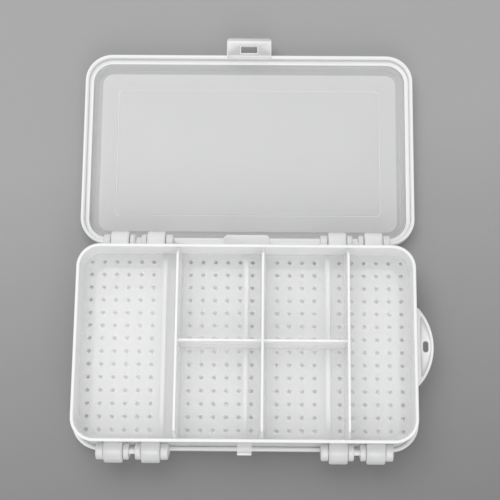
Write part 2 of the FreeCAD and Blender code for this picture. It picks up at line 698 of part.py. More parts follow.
# The lower lid is closed and latched. The upper lid lies open behind the tray with its latch out.
on_table = FreeCAD.Placement(Vector(0, 0, value(LID_TOP)), FreeCAD.Rotation())
turned_over = FreeCAD.Placement(Vector(), FreeCAD.Rotation(Vector(1, 0, 0), 180))
opened = turn_about(value(HINGE_Y), 0, -value("Dims.lid_open_angle"))
latch_place = FreeCAD.Placement(
    Vector(0, -value(LATCH_Y), value(LATCH_Z)), FreeCAD.Rotation(Vector(1, 0, 0), 180)
)
latch_opened = turn_about(0, 0, -value("Dims.latch_open_angle"))

make_lid("lower_lid").Placement = on_table * turned_over
make_latch("lower_latch").Placement = on_table * turned_over * latch_place
make_lid("upper_lid").Placement = on_table * opened
make_latch("upper_latch").Placement = on_table * opened * latch_place * latch_opened
doc.recompute()

pieces = [item for item in doc.Objects if item.TypeId in ("PartDesign::Body", "Part::Cylinder")]
for item in doc.Objects:
    if "Invalid" in item.State or "Error" in item.State:
        raise RuntimeError(f"{item.Name} could not be built")
for piece in pieces:
    if piece.Shape.isNull() or not piece.Shape.isValid() or len(piece.Shape.Solids) != 1:
        raise RuntimeError(f"{piece.Label} is not one valid solid")

os.makedirs("parts", exist_ok=True)
for piece in pieces:
    piece.Shape.exportStep(f"parts/{piece.Label}.step")
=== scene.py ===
"""Looks of a two-sided compartment box in milky polypropylene: one lid open, the other closed below."""

import json
import math

import bmesh
import bpy
import numpy as np
from bpy.props import FloatProperty, FloatVectorProperty, PointerProperty
from mathutils import Matrix, Vector


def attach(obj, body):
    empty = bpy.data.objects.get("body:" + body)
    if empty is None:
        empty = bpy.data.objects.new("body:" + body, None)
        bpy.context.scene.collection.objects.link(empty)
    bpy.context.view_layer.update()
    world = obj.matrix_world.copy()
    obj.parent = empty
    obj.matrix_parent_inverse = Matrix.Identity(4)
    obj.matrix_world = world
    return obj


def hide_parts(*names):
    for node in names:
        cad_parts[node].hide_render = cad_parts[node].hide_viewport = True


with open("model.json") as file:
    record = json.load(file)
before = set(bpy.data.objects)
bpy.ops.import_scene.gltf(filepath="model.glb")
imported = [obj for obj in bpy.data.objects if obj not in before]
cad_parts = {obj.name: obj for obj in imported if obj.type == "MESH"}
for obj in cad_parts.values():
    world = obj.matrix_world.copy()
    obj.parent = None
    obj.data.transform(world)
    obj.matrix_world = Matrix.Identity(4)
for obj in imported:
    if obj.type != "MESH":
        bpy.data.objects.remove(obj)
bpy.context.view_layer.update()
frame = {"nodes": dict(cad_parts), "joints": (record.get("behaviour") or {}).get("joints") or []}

bl_info = {
    "name": "Two-sided compartment box",
    "version": (1, 0, 0),
    "blender": (4, 5, 0),
    "location": "3D View > Sidebar > Box",
    "description": "Dresses the compartment box in milky plastic and sets its stage",
    "category": "Object",
}

PIN_NODES = (
    "hinge_pin_rear_left", "hinge_pin_rear_right", "hinge_pin_front_left", "hinge_pin_front_right",
)
# Mesh marks: whiter where the plastic is seen edge on, partly for its thickness and partly as painted glow of
# light in its edges, with painted highlights and painted shade on some pieces
EDGE_LAYER = "whiteness_and_painted_light"
# Height above the floor's middle plane of the point that a divider's outline is drawn about
DIVIDER_HUB = 0.008
# How far a shape goes into its neighbour, so that no gap shows
OVERLAP = 0.0001
# Each plastic: share that hides what is behind it, clear share, roughness, grain, waves
FINISHES = {
    "milky_tray": (0.76, 0.08, 0.34, 0.25, 0.10),
    "milky_floor": (0.31, 0.12, 0.34, 0.25, 0.10),
    "milky_divider": (0.45, 0.15, 0.30, 0.20, 0.10),
    "milky_lid": (0.48, 0.22, 0.36, 0.30, 0.12),
    "milky_base": (0.78, 0.08, 0.36, 0.30, 0.12),
    "milky_latch": (0.30, 0.25, 0.34, 0.25, 0.10),
    "milky_edge": (0.95, 0.04, 0.34, 0.20, 0.05),
    "milky_pin": (0.90, 0.06, 0.30, 0.20, 0.05),
}


def length(name, description, default):
    """A size in metres that a user may change."""
    return FloatProperty(name=name, description=description, default=default, precision=5, unit="LENGTH")


def colour(name, description, default):
    """A linear colour that a user may change."""
    return FloatVectorProperty(
        name=name, description=description, default=default, size=3, min=0, max=1, subtype="COLOR"
    )


class BoxSizes(bpy.types.PropertyGroup):
    """Sizes of the box, measured in the closed box's own frame, whose origin is the middle of its floor."""

    middle: length("Middle", "Height of the floor's middle plane above the table", 0.01895)
    floor_face: length("Floor face", "Floor's surface from its middle plane", 0.00075)
    rim: length("Rim", "Tray's rim from the floor's middle plane", 0.01315)
    half_length: length("Half length", "Half of the tray's length at its rims", 0.0831)
    half_width: length("Half width", "Half of the tray's width at its rims", 0.0483)
    corner: length("Corner", "Tray's outer corner radius", 0.0115)
    wall: length("Wall", "Tray wall's thickness", 0.0016)
    lean: length("Lean", "How far the wall is drawn in at the floor", 0.00075)
    rim_round: length("Rim rounding", "Rounding of the rims' edges", 0.0005)
    hole: length("Drain hole", "Diameter of a drain hole", 0.0018)
    hole_pitch_x: length("Hole pitch along", "Drain hole spacing along the box", 0.00615)
    hole_pitch_y: length("Hole pitch across", "Drain hole spacing across the box", 0.0064)
    divider_top: length("Divider top", "Top of the dividers from the floor's middle plane", 0.01715)
    divider_crest: length("Divider crest", "Half thickness of a divider at its top", 0.0006)
    divider_foot: length("Divider foot", "Half thickness of a divider at the floor", 0.00117)
    divider_round: length("Divider rounding", "Rounding of a divider's edges", 0.0004)
    divider_corner: length("Divider corner", "Radius of a divider's top corners", 0.0036)
    left_divider: length("Left divider", "Place of the upper left divider", -0.0332)
    middle_divider: length("Middle divider", "Place of the upper middle divider", 0.0084)
    right_divider: length("Right divider", "Place of the upper right divider", 0.0499)
    lower_pitch: length("Lower dividers", "Spacing of the lower dividers", 0.0405)
    lid_top: length("Lid top", "Lid's outer face from the floor's middle plane", 0.01895)
    panel: length("Lid panel", "Thickness of the lid's panel", 0.0015)
    seat: length("Lid seat", "Lid's seat from the floor's middle plane", 0.01325)
    lip_edge: length("Lip edge", "Edge of the lid's lip from the floor's middle plane", 0.00955)
    lip: length("Lip", "Thickness of the lid's lip", 0.00185)
    lip_gap: length("Lip gap", "Lid's lip to the tray's rim", 0.00045)
    lid_round: length("Lid rounding", "Rounding of the lid's outer edge", 0.0045)
    cove: length("Lid cove", "Rounding inside the lid's hollow", 0.0030)
    frame_line: length("Frame line", "Fine sunk line of the lid's panel, in from the lid's edge", 0.0165)
    line_width: length("Line width", "Width of the fine sunk line", 0.0007)
    line_depth: length("Line depth", "Depth of the fine sunk line", 0.0003)
    hinge_y: length("Hinge axis", "Hinge axis from the middle of the box", 0.0519)
    hinge_x: length("Hinge place", "Middle of a hinge from the middle of the box", 0.0542)
    pin: length("Pin", "Diameter of a hinge pin", 0.0026)
    lug_radius: length("Lug radius", "Radius of a tray lug's round end", 0.0055)
    lug_round: length("Lug rounding", "Rounding of a lug's edges", 0.0009)
    knuckle: length("Knuckle radius", "Radius of a lid knuckle", 0.004)
    knuckle_round: length("Knuckle rounding", "Rounding of a knuckle's edges", 0.0007)
    latch_round: length("Latch rounding", "Rounding of a latch's edges", 0.00035)


class BoxColours(bpy.types.PropertyGroup):
    """Colours of the plastic and of the stage, in linear light."""

    plastic: colour("Plastic", "Milky polypropylene", (0.992, 0.994, 0.995))
    # Colour where the marks paint the edges' glow
    edge: colour("Edges", "Plastic where it is seen edge on", (0.92, 0.92, 0.925))
    table: colour("Table", "Plain grey table", (0.385, 0.385, 0.39))


def sizes():
    """The sizes that the sidebar holds."""
    return bpy.context.scene.box_sizes


def colours():
    """The colours that the sidebar holds."""
    return bpy.context.scene.box_colours


def upright():
    """The place of the tray: lifted above the table."""
    return Matrix.Translation((0, 0, sizes().middle))


def turned_over():
    """The place of the tray's lower half: turned over about the X axis and lifted."""
    return upright() @ Matrix.Rotation(math.pi, 4, "X")


def opened():
    """The place of the upper lid: turned back about its hinge, as far as the frame has it, and lifted."""
    swing = next(joint for joint in frame["joints"] if joint["name"] == "upper_lid_hinge")["range_deg"][1]
    line = Matrix.Translation((0, sizes().hinge_y, 0))
    return upright() @ line @ Matrix.Rotation(-math.radians(swing), 4, "X") @ line.inverted()


def rounded_profile(corners, closed=False, steps=6):
    """
    A polyline with every corner rounded. Each row holds a point and its radius: the arc touches both
    sides at radius / tan(half the corner's angle), and is swept as a weighted sum of its two end spokes.
    """
    corners = np.asarray(corners, float)
    point, radius = corners[:, :2], corners[:, 2:]
    before = np.roll(point, 1, axis=0) - point
    after = np.roll(point, -1, axis=0) - point
    before /= np.linalg.norm(before, axis=1, keepdims=True)
    after /= np.linalg.norm(after, axis=1, keepdims=True)
    half = np.arccos(np.clip((before * after).sum(axis=1, keepdims=True), -1, 1)) / 2
    middle = before + after
    centre = point + middle / np.linalg.norm(middle, axis=1, keepdims=True) * radius / np.sin(half)
    first = point + before * radius / np.tan(half) - centre
    last = point + after * radius / np.tan(half) - centre
    sweep = (math.pi - 2 * half)[:, None, :]
    share = np.linspace(0, 1, steps + 1)[None, :, None]
    spokes = np.sin((1 - share) * sweep) * first[:, None] + np.sin(share * sweep) * last[:, None]
    arcs = centre[:, None] + spokes / np.sin(sweep)
    if closed:
        return arcs.reshape(-1, 2)
    return np.concatenate([point[:1], arcs[1:-1].reshape(-1, 2), point[-1:]])


def with_stops(profile, step, limit):
    """
    A polyline with points added a step apart along it, by linear interpolation, where its inset is
    below a limit.
    """
    run = np.concatenate([[0], np.cumsum(np.linalg.norm(np.diff(profile, axis=0), axis=1))])
    extra = np.arange(step, run[-1], step)
    extra = extra[np.interp(extra, run, profile[:, 0]) < limit]
    place = np.union1d(run, extra)
    return np.stack([np.interp(place, run, profile[:, 0]), np.interp(place, run, profile[:, 1])], axis=1)


def carried_ring(profile, half_x, half_y, corner, least=0.002, steps=14):
    """
    A profile of (inset, level) carried round a rounded rectangle. At each level the rectangle is drawn
    in by the inset, and so is its corner radius, down to a least one.
    """
    inset = profile[:, 0][:, None, None]
    radius = np.maximum(corner - inset, least)
    quarter = np.linspace(0, math.pi / 2, steps + 1)
    turn = (np.arange(4)[:, None] * math.pi / 2 + quarter).ravel()
    sign = np.repeat([[1, 1], [-1, 1], [-1, -1], [1, -1]], steps + 1, axis=0)
    spoke = np.stack([np.cos(turn), np.sin(turn)], axis=1)
    flat = sign * (np.array([half_x, half_y]) - inset - radius) + radius * spoke
    level = np.broadcast_to(profile[:, 1][:, None, None], flat.shape[:2] + (1,))
    return np.concatenate([flat, level], axis=2)


def arc(centre, radius, start, end, steps=24):
    """Points on an arc, between two angles in degrees."""
    turn = np.radians(np.linspace(start, end, steps + 1))
    return np.stack([centre[0] + radius * np.cos(turn), centre[1] + radius * np.sin(turn)], axis=1)


def outline_reach(corners, centre, turn, inset):
    """
    How far a convex outline, drawn in by each inset, lies from a centre along each direction: the
    least, over its sides, of the side's distance less the inset, over the cosine to the side's normal.
    """
    run = np.roll(corners, -1, axis=0) - corners
    normal = np.stack([run[:, 1], -run[:, 0]], axis=1) / np.linalg.norm(run, axis=1, keepdims=True)
    distance = ((corners - centre) * normal).sum(axis=1)
    facing = np.stack([np.cos(turn), np.sin(turn)], axis=1) @ normal.T
    room = distance[None, None, :] - np.asarray(inset, float)[:, None, None]
    return np.where(facing > 1e-6, room / np.maximum(facing, 1e-6), np.inf).min(axis=2)


def outline_turns(corners, centre, steps=48):
    """Evenly spaced directions from a centre, with the outline's own corners among them."""
    least_apart = 0.04
    arms = corners - centre
    own = np.arctan2(arms[:, 1], arms[:, 0])
    even = np.linspace(-math.pi, math.pi, steps, endpoint=False)
    apart = np.abs((even[:, None] - own + math.pi) % (2 * math.pi) - math.pi).min(axis=1)
    return np.unique(np.round(np.concatenate([own, even[apart > least_apart]]), 5))


def grid_shape(points, edge, close_rows=False):
    """
    Vertices and faces of a grid whose columns close on themselves. Its rows close too, or its first
    and last rows are each closed by a fan to their middle. Faces are turned to point outwards: the sum
    of their triple products a . (b x c), which is six times the volume, has to be positive.
    """
    rows, columns = points.shape[:2]
    here = np.arange(rows if close_rows else rows - 1)[:, None]
    side = np.arange(columns)[None, :]
    following = (here + 1) % rows
    beside = (side + 1) % columns
    quads = np.stack([
        here * columns + side, here * columns + beside,
        following * columns + beside, following * columns + side,
    ], axis=2).reshape(-1, 4)
    spots = points.reshape(-1, 3)
    marks = np.repeat(edge, columns)
    faces = [quads]
    if not close_rows:
        ends = np.stack([points[0].mean(axis=0), points[-1].mean(axis=0)])
        spots = np.concatenate([spots, ends])
        marks = np.concatenate([marks, edge[[0, -1]]])
        lap = side.ravel()
        first = np.stack([lap, np.full(columns, rows * columns), beside.ravel()], axis=1)
        last = np.stack([beside.ravel(), np.full(columns, rows * columns + 1), lap], axis=1)
        last[:, [0, 2]] += (rows - 1) * columns
        faces += [first, last]
    halves = [part[:, [0, k, k + 1]] for part in faces for k in range(1, part.shape[1] - 1)]
    a, b, c = (spots[corner] for corner in np.concatenate(halves).T)
    if (a * np.cross(b, c)).sum() < 0:
        faces = [part[:, ::-1] for part in faces]
    return spots, faces, marks


def joined(shapes):
    """Several shapes as one."""
    spots, faces, marks = zip(*shapes)
    starts = np.cumsum([0] + [len(points) for points in spots[:-1]])
    moved = [part + start for parts, start in zip(faces, starts) for part in parts]
    return np.concatenate(spots), moved, np.concatenate(marks)


def rounded_prism(corners, centre, start, end, rounding, bore=0.0, steps=4, edge=0.0, rim=0.6):
    """
    A convex outline in the YZ plane carried along X with its end edges rounded by a quarter circle:
    the outline is drawn in as the end is reached. A bore makes it a ring about the centre. Its marks go
    from the edge value along its length to the rim value at its ends.
    """
    corners = np.asarray(corners, float)
    centre = np.asarray(centre, float)
    turn = outline_turns(corners, centre)
    quarter = np.linspace(0, math.pi / 2, steps + 1)
    drawn_in = rounding * (1 - np.sin(quarter))
    along = rounding * (1 - np.cos(quarter))
    inset = np.concatenate([drawn_in, drawn_in[::-1]])
    place = np.concatenate([start + along, end - along[::-1]])
    reach = outline_reach(corners, centre, turn, inset)
    mark = edge + (rim - edge) * inset / rounding
    if bore:
        reach = np.concatenate([np.full((1, len(turn)), bore), reach, np.full((1, len(turn)), bore)])
        place = np.concatenate([[start], place, [end]])
        mark = np.concatenate([[edge], mark, [edge]])
    points = np.stack([
        np.broadcast_to(place[:, None], reach.shape),
        centre[0] + reach * np.cos(turn),
        centre[1] + reach * np.sin(turn),
    ], axis=2)
    return grid_shape(points, mark, close_rows=bool(bore))


def make_piece(name, shape, place, body, material, nodes=(), smooth=True):
    """Puts a shape into a mesh at its place, with its edge marks, and hands it to the frame."""
    spots, faces, marks = shape
    turn = np.array(place)
    spots = spots @ turn[:3, :3].T + turn[:3, 3]
    mesh = bpy.data.meshes.new(name)
    mesh.from_pydata(spots.tolist(), [], [face for part in faces for face in part.tolist()])
    layer = mesh.attributes.new(EDGE_LAYER, "FLOAT", "POINT")
    layer.data.foreach_set("value", np.asarray(marks, np.float32))
    mesh.polygons.foreach_set("use_smooth", np.full(len(mesh.polygons), smooth))
    mesh.materials.append(material)
    mesh.update()
    piece = bpy.data.objects.new(name, mesh)
    bpy.context.scene.collection.objects.link(piece)
    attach(piece, body)
    if nodes:
        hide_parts(*nodes)


def softened_copy(name, node, rounding, body, material):
    """
    A merged copy of a CAD node with its edges rounded, which stands for that node. The finger, which is
    what lies far from the joint's axis, is marked as edge.
    """
    finger_start = 0.0056
    mesh = frame["nodes"][node].data.copy()
    mesh.name = name
    work = bmesh.new()
    work.from_mesh(mesh)
    bmesh.ops.remove_doubles(work, verts=work.verts, dist=2e-6)
    bmesh.ops.dissolve_limit(work, angle_limit=math.radians(1), verts=work.verts, edges=work.edges)
    work.to_mesh(mesh)
    work.free()
    spots = np.empty(len(mesh.vertices) * 3)
    mesh.vertices.foreach_get("co", spots)
    hinge = next(joint for joint in frame["joints"] if joint["child"] == body)
    away = (spots.reshape(-1, 3) - np.array(hinge["pos_m"]))[:, 1:]
    layer = mesh.attributes.new(EDGE_LAYER, "FLOAT", "POINT")
    finger = np.linalg.norm(away, axis=1) > finger_start
    layer.data.foreach_set("value", finger.astype(np.float32))
    mesh.materials.clear()
    mesh.materials.append(material)
    mesh.materials.append(plastic("milky_edge"))
    mesh.polygons.foreach_set("use_smooth", np.ones(len(mesh.polygons), bool))
    piece = bpy.data.objects.new(name, mesh)
    bpy.context.scene.collection.objects.link(piece)
    bevel = piece.modifiers.new("Rounded edges", "BEVEL")
    bevel.width = rounding
    bevel.segments = 2
    bevel.limit_method = "ANGLE"
    bevel.angle_limit = math.radians(40)
    bevel.harden_normals = True
    # Bevelled faces take the near opaque edge finish: a painted glow of light along the latch's edges, partly
    # for their thickness
    bevel.material = 1
    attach(piece, body)
    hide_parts(node)


def milky_plastic(name, solid, clear, roughness, grain, waves):
    """
    Translucent polypropylene: a share of clear, rough transmission in a milky body that lets some light
    Marks on the mesh whiten it where it is seen edge on, partly for its thickness and partly as a painted
    glow of light gathered in its edges, add painted highlights and painted light on ledges and lines, and
    thin it where it is clearer and where shade is painted; broad clouds vary its whiteness, and fine grain
    and slow waves of the mould bump it.
    """
    material = bpy.data.materials.new(name)
    material.use_nodes = True
    nodes, links = material.node_tree.nodes, material.node_tree.links
    shader = nodes["Principled BSDF"]
    shader.inputs["IOR"].default_value = 1.4
    place = nodes.new("ShaderNodeTexCoord")

    def noise(scale, detail):
        texture = nodes.new("ShaderNodeTexNoise")
        texture.inputs["Scale"].default_value = scale
        texture.inputs["Detail"].default_value = detail
        links.new(place.outputs["Object"], texture.inputs["Vector"])
        return texture.outputs["Fac"]

    def between(factor, low, high):
        ranged = nodes.new("ShaderNodeMapRange")
        ranged.inputs["To Min"].default_value = low
        ranged.inputs["To Max"].default_value = high
        links.new(factor, ranged.inputs["Value"])
        return ranged.outputs["Result"]

    marks = nodes.new("ShaderNodeAttribute")
    marks.attribute_name = EDGE_LAYER
    share = between(marks.outputs["Fac"], 0, 1)
    share.node.inputs["From Min"].default_value = -1

    def by_mark(thin, body, edge):
        ramp = nodes.new("ShaderNodeValToRGB")
        ramp.color_ramp.elements[0].color = (*thin, 1)
        ramp.color_ramp.elements[1].color = (*edge, 1)
        ramp.color_ramp.elements.new(0.5).color = (*body, 1)
        links.new(share, ramp.inputs["Fac"])
        return ramp.outputs["Color"]

    # Edge end of the marks: nearly opaque and whiter, a painted glow of light gathered in edges, partly for
    # their thickness; thin end: clearer, also used to paint shade
    thin_share, thin_clear, edge_solid, edge_clear, spread = 0.3, 0.8, 0.97, 0.04, 0.04
    tone = nodes.new("ShaderNodeCombineColor")
    shade = between(noise(35, 2), 0.975, 1.0)
    for channel in ("Red", "Green", "Blue"):
        links.new(shade, tone.inputs[channel])
    cloud = nodes.new("ShaderNodeMix")
    cloud.data_type = "RGBA"
    cloud.blend_type = "MULTIPLY"
    cloud.inputs["Factor"].default_value = 1
    links.new(by_mark(colours().plastic, colours().plastic, colours().edge), cloud.inputs["A"])
    links.new(tone.outputs["Color"], cloud.inputs["B"])
    links.new(cloud.outputs["Result"], shader.inputs["Base Color"])
    hiding = by_mark([solid * thin_share] * 3, [solid] * 3, [edge_solid] * 3)
    links.new(hiding, shader.inputs["Alpha"])
    links.new(by_mark([thin_clear] * 3, [clear] * 3, [edge_clear] * 3), shader.inputs["Transmission Weight"])
    links.new(between(noise(90, 3), roughness - spread, roughness + spread), shader.inputs["Roughness"])
    bump = nodes.new("ShaderNodeBump")
    bump.inputs["Strength"].default_value = grain
    bump.inputs["Distance"].default_value = 0.00005
    links.new(noise(2500, 1), bump.inputs["Height"])
    swell = nodes.new("ShaderNodeBump")
    swell.inputs["Strength"].default_value = waves
    swell.inputs["Distance"].default_value = 0.0006
    links.new(noise(45, 1), swell.inputs["Height"])
    links.new(swell.outputs["Normal"], bump.inputs["Normal"])
    links.new(bump.outputs["Normal"], shader.inputs["Normal"])
    return material


def grey_with_painted_falloff(name, base):
    """A matt sheet with a fine paper tooth, whose tone falls slowly from its far left to its near right."""
    # The fall in tone is painted shade: the table is darkened toward the near right where the light falls off
    painted_darkest, unshaded_from = 0.48, 0.8
    material = bpy.data.materials.new(name)
    material.use_nodes = True
    nodes, links = material.node_tree.nodes, material.node_tree.links
    shader = nodes["Principled BSDF"]
    shader.inputs["Roughness"].default_value = 0.9
    shader.inputs["Specular IOR Level"].default_value = 0.15
    place = nodes.new("ShaderNodeTexCoord")
    turned = nodes.new("ShaderNodeMapping")
    turned.vector_type = "TEXTURE"
    turned.inputs["Location"].default_value = (0.05, -0.14, 0)
    turned.inputs["Rotation"].default_value = (0, 0, math.radians(100))
    turned.inputs["Scale"].default_value = (0.32, 1, 1)
    links.new(place.outputs["Object"], turned.inputs["Vector"])
    painted_falloff = nodes.new("ShaderNodeTexGradient")
    links.new(turned.outputs["Vector"], painted_falloff.inputs["Vector"])
    ramp = nodes.new("ShaderNodeValToRGB")
    ramp.color_ramp.elements[0].color = (*[part * painted_darkest for part in base], 1)
    ramp.color_ramp.elements[1].color = (*base, 1)
    ramp.color_ramp.elements[1].position = unshaded_from
    links.new(painted_falloff.outputs["Fac"], ramp.inputs["Fac"])
    tooth = nodes.new("ShaderNodeTexNoise")
    tooth.inputs["Scale"].default_value = 900
    links.new(place.outputs["Object"], tooth.inputs["Vector"])
    bump = nodes.new("ShaderNodeBump")
    bump.inputs["Strength"].default_value = 0.1
    bump.inputs["Distance"].default_value = 0.0002
    links.new(tooth.outputs["Fac"], bump.inputs["Height"])
    links.new(bump.outputs["Normal"], shader.inputs["Normal"])
    links.new(ramp.outputs["Color"], shader.inputs["Base Color"])
    return material


def plastic(name):
    """One of the box's plastics by name, made when first asked for."""
    if name not in bpy.data.materials:
        milky_plastic(name, *FINISHES[name])
    return bpy.data.materials[name]


def wall_ring():
    """The tray's wall: a leaning section with two rounded rims, carried round the tray."""
    size = sizes()
    rims = size.rim_round
    profile = rounded_profile([
        (0, size.rim, rims),
        (size.lean, 0, 0.003),
        (0, -size.rim, rims),
        (size.wall, -size.rim, rims),
        (size.wall + size.lean, -size.floor_face, 0.0003),
        (size.wall + size.lean, size.floor_face, 0.0003),
        (size.wall, size.rim, rims),
    ], closed=True)
    points = carried_ring(profile, size.half_length, size.half_width, size.corner)
    # Rims whitened as painted glow of light gathered in them, partly for their thickness; the wall's foot
    # whitened as a painted light line along its crease with the floor
    rim_band, fade, foot_band, foot_painted_light = 0.0007, 0.0004, 0.0005, 0.6
    edge = np.clip((np.abs(profile[:, 1]) - size.rim + rim_band) / fade, 0, 1)
    at_foot = (profile[:, 0] > size.wall) & (np.abs(profile[:, 1]) < size.floor_face + foot_band)
    return grid_shape(points, np.maximum(edge, foot_painted_light * at_foot), close_rows=True)


def hinge_lugs():
    """Eight plates with half-round ends and a bore for the pin, two to a hinge, on both long sides."""
    size = sizes()
    radius, axis = size.lug_radius, (size.hinge_y, 0)
    offset, half_lug, bore_gap, rear_painted_light = 0.009025, 0.004525, 0.00002, 0.8
    root = size.half_width - size.lean + OVERLAP
    outline = np.concatenate([
        [(root, -radius)], arc(axis, radius, -90, 90), [(root, radius)],
    ])
    rear = []
    for middle in (-size.hinge_x, size.hinge_x):
        for shift in (-offset, offset):
            rear.append(rounded_prism(
                outline, axis, middle + shift - half_lug, middle + shift + half_lug, size.lug_round,
                bore=size.pin / 2 + bore_gap, edge=0.6, rim=1.0,
            ))
    spots, faces, marks = joined(rear)
    # The front lugs' marks are lowered by this much, so the rear lugs, shaded in their gaps, stand whiter as
    # painted light
    front = (spots * (1, -1, -1), faces, marks - rear_painted_light)
    return joined([(spots, faces, marks), front])


def catches():
    """The tongue that the latch's window drops over, at the middle of both long sides."""
    size = sizes()
    root, tip, slope, half = size.half_width - size.lean, 0.05385, 0.0009, 0.00345
    low, high, middle = -0.00635, -0.00515, (0.0505, -0.00575)
    outline = np.array([(root, low), (tip, low), (tip, high - slope), (tip - slope, high), (root, high)])
    spots, faces, _ = rounded_prism(outline, middle, -half, half, 0.0003)
    # Its tip and ends whitened as painted glow of light in its edges, partly for their thickness; its body
    # made clearer
    white = (spots[:, 1] > tip - slope / 2) | (np.abs(spots[:, 0]) > half - 0.0001)
    marks = np.where(white, 1.0, -0.45)
    return joined([(spots, faces, marks), (spots * (1, -1, -1), faces, marks)])


def hanging_tab():
    """
    The half-moon tab on the right end: rings about its slot, from the slot's wall over the sunk face
    and the raised border to the outer edge, and back underneath.
    """
    size = sizes()
    root = size.half_length - size.lean
    tip, shoulder, half_chord = root + 0.00995, root + 0.00285, 0.019
    sagitta = tip - shoulder
    radius = (half_chord ** 2 + sagitta ** 2) / (2 * sagitta)
    open_angle = math.degrees(math.asin(half_chord / radius))
    middle = (tip - radius, 0)
    slot_out, slot_shift, slot_radius = 0.0061, 0.00145, 0.0013
    centre = np.array([root + slot_out, 0])
    into_wall, half_foot, border = 0.0004, 0.0208, 0.0011
    outer = np.concatenate([
        [(root - into_wall, -half_foot)], arc(middle, radius, -open_angle, open_angle),
        [(root - into_wall, half_foot)],
    ])
    face_root, face_radius = root + 0.00345, radius - border
    face_angle = math.degrees(math.acos((face_root - middle[0]) / face_radius))
    face = arc(middle, face_radius, -face_angle, face_angle)
    slot = np.concatenate([
        arc(centre + (0, slot_shift), slot_radius, 0, 180),
        arc(centre - (0, slot_shift), slot_radius, 180, 360),
    ])
    turn = outline_turns(outer, centre, 96)
    high, low, soft = 0.0013, 0.0008, 0.0003
    # Each ring: outline, inset, level, mark
    # The marks whiten the slot's walls, the raised border and the outer edge as painted glow of light in
    # them, partly for their thickness, and clear the sunk face
    rings = [
        (slot, 0, low - soft, 0.3), (slot, -soft, low, 0.8), (slot, -0.0008, low, 0.4),
        (face, 0.0003, low, -0.5), (face, 0, low + 0.0001, 0.2), (face, -0.0001, high - 0.0001, 0.8),
        (face, -0.0003, high, 0.9), (outer, soft, high, 0.9), (outer, 0.0001, high - 0.0001, 0.9),
        (outer, 0, high - soft, 0.9),
    ]
    rings += [(shape, inset, -level, mark) for shape, inset, level, mark in rings[::-1]]
    reach = np.concatenate([outline_reach(shape, centre, turn, [inset]) for shape, inset, _, _ in rings])
    level = np.array([ring[2] for ring in rings])[:, None]
    points = np.stack([
        centre[0] + reach * np.cos(turn), reach * np.sin(turn), np.broadcast_to(level, reach.shape),
    ], axis=2)
    return grid_shape(points, np.array([ring[3] for ring in rings]), close_rows=True)


def floor_plate():
    """
    The floor: a grid of cells, each a ring of quads from its border to its round hole, whose edges are
    broken by a small chamfer. Cells under a divider are whole. The outermost border is pulled out to the
    wall and its corners. The lower face mirrors the upper one, and a rim joins their borders.
    """
    size = sizes()
    columns, rows, sides, chamfer = 26, 14, 12, 0.0002
    under_dividers = (6, 7, 14, 19)
    pitch = np.array([size.hole_pitch_x, size.hole_pitch_y])
    column, row = np.meshgrid(np.arange(columns), np.arange(rows), indexing="ij")
    centre = (np.stack([column, row], axis=2).reshape(-1, 2) - ((columns - 1) / 2, (rows - 1) / 2)) * pitch
    holed = ~np.isin(column.ravel(), under_dividers)
    turn = (np.arange(sides) + 0.5) * 2 * math.pi / sides
    spoke = np.stack([np.cos(turn), np.sin(turn)], axis=1)
    border = spoke / np.abs(spoke).max(axis=1, keepdims=True) / 2 * pitch
    outside = (centre[:, None] + border).reshape(-1, 2)
    reach = pitch * (columns, rows) / 2
    wall = np.array([size.half_length, size.half_width]) - size.lean - size.wall + OVERLAP
    outside = np.where(np.abs(outside) > reach - 1e-6, np.sign(outside) * wall, outside)
    corner = size.corner - size.lean - size.wall
    beyond = np.maximum(np.abs(outside) - (wall - corner), 0)
    stretch = np.linalg.norm(beyond, axis=1)
    pulled = np.sign(outside) * (wall - corner + beyond * corner / np.maximum(stretch, 1e-9)[:, None])
    at_corner = (beyond.min(axis=1) > 0) & (stretch > corner)
    outside = np.where(at_corner[:, None], pulled, outside)
    flat, index = np.unique(np.round(outside, 7), axis=0, return_inverse=True)
    index = index.reshape(-1, sides)
    mouth = (centre[holed][:, None] + spoke * (size.hole / 2 + chamfer)).reshape(-1, 2)
    throat = (centre[holed][:, None] + spoke * size.hole / 2).reshape(-1, 2)
    level = np.repeat(
        [size.floor_face, size.floor_face - chamfer], [len(flat) + len(mouth), len(throat)]
    )
    upper = np.column_stack([np.concatenate([flat, mouth, throat]), level])
    count = len(upper)
    mouths = len(flat) + np.arange(len(mouth)).reshape(-1, sides)
    throats = mouths + len(mouth)

    def band(outer, inner):
        ring = [outer, np.roll(outer, -1, axis=1), np.roll(inner, -1, axis=1), inner]
        return np.stack(ring, axis=2).reshape(-1, 4)

    face = np.concatenate([band(index[holed], mouths), band(mouths, throats)])
    whole = index[~holed]
    start, end = index.ravel(), np.roll(index, -1, axis=1).ravel()
    rim = ~np.isin(start * count + end, end * count + start)
    start, end = start[rim], end[rim]
    sides_of_rim = np.stack([end, start, start + count, end + count], axis=1)
    quads = np.concatenate([face, face[:, ::-1] + count, band(throats, throats + count), sides_of_rim])
    spots = np.concatenate([upper, upper * (1, 1, -1)])
    return spots, [quads, whole, whole[:, ::-1] + count], np.zeros(len(spots))


def tapered(shape):
    """A divider's shape thinned from its foot to its top: X is scaled by the half thickness at its height."""
    size = sizes()
    spots, faces, marks = shape
    rise = np.clip((spots[:, 2] - size.floor_face) / (size.divider_top - size.floor_face), 0, 1)
    half = size.divider_foot + (size.divider_crest - size.divider_foot) * rise
    spots = spots * np.stack([half / size.divider_foot, np.ones_like(half), np.ones_like(half)], axis=1)
    # Crests whitened as painted glow and highlight of light on them, feet whitened as a painted light line
    # where they meet the floor
    crest_band, fade, foot_painted_light = 0.0008, 0.0004, 0.6
    crest = np.clip((spots[:, 2] - size.divider_top + crest_band) / fade, 0, 1)
    foot = foot_painted_light * (spots[:, 2] < size.floor_face)
    return spots, faces, np.maximum(marks, np.maximum(crest, foot))


